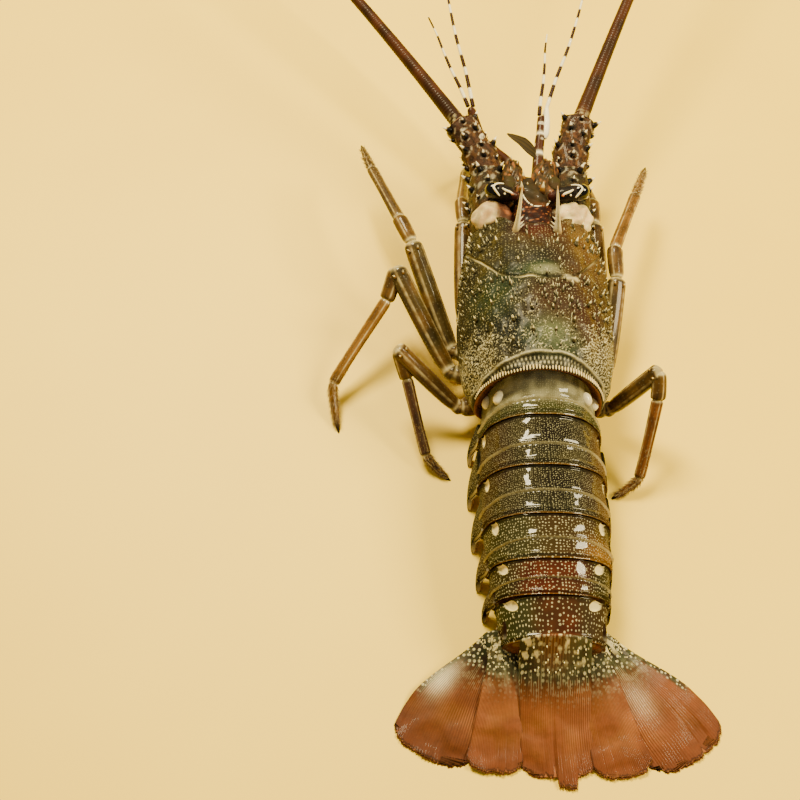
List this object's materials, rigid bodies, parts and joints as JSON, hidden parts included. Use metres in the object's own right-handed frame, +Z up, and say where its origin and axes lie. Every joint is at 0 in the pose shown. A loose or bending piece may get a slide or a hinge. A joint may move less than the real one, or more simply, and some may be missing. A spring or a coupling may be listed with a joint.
{
  "type": "spiny lobster",
  "caption": "Life-size still model of a scalloped spiny lobster lying on its belly, tail fan spread, long antennae raised ahead of the head.",
  "frame": {"origin": "on the floor, under the middle of the whole animal's box", "axes": "+Y runs to the head, +X to the animal's right side, +Z up"},
  "size_m": [0.299, 0.4432, 0.0667],
  "materials": {
    "shell": "wet, dark olive shell with fine cream dots",
    "underside": "pale horn, satin",
    "eye": "glossy black",
    "eyestalk": "dark purple with white lines",
    "antenna": "purple-brown with dark and white spines",
    "lash": "red-brown, ringed",
    "antennule": "dark brown and white bands",
    "leg": "olive gold with pale lines",
    "fan": "rust orange web behind a dark dotted root"
  },
  "bodies": {
    "root": {"carapace": "shell", "sternum": "underside", "antennular_plate": "shell", "abdomen_somite_1": "shell", "abdomen_somite_2": "shell", "abdomen_somite_3": "shell", "abdomen_somite_4": "shell", "abdomen_somite_5": "shell", "abdomen_somite_6": "shell", "telson": "fan", "uropod_inner_left": "fan", "uropod_outer_left": "fan", "eyestalk_left": "eyestalk", "eye_left": "eye", "antenna_base_left": "antenna", "antenna_middle_left": "antenna", "antenna_wrist_left": "antenna", "antenna_lash_near_left": "lash", "antenna_lash_far_left": "lash", "antennule_stem_left": "antennule", "antennule_outer_left": "antennule", "antennule_inner_left": "antennule", "maxilliped_left": "leg", "leg_1_left_upper": "leg", "leg_1_left_lower": "leg", "leg_2_left_upper": "leg", "leg_2_left_lower": "leg", "leg_3_left_upper": "leg", "leg_3_left_lower": "leg", "leg_4_left_upper": "leg", "leg_4_left_lower": "leg", "leg_5_left_upper": "leg", "leg_5_left_lower": "leg", "uropod_inner_right": "fan", "uropod_outer_right": "fan", "eyestalk_right": "eyestalk", "eye_right": "eye", "antenna_base_right": "antenna", "antenna_middle_right": "antenna", "antenna_wrist_right": "antenna", "antenna_lash_near_right": "lash", "antenna_lash_far_right": "lash", "antennule_stem_right": "antennule", "antennule_outer_right": "antennule", "antennule_inner_right": "antennule", "maxilliped_right": "leg", "leg_1_right_upper": "leg", "leg_1_right_lower": "leg", "leg_2_right_upper": "leg", "leg_2_right_lower": "leg", "leg_3_right_upper": "leg", "leg_3_right_lower": "leg", "leg_4_right_upper": "leg", "leg_4_right_lower": "leg", "leg_5_right_upper": "leg", "leg_5_right_lower": "leg"}
  },
  "joints": []
}
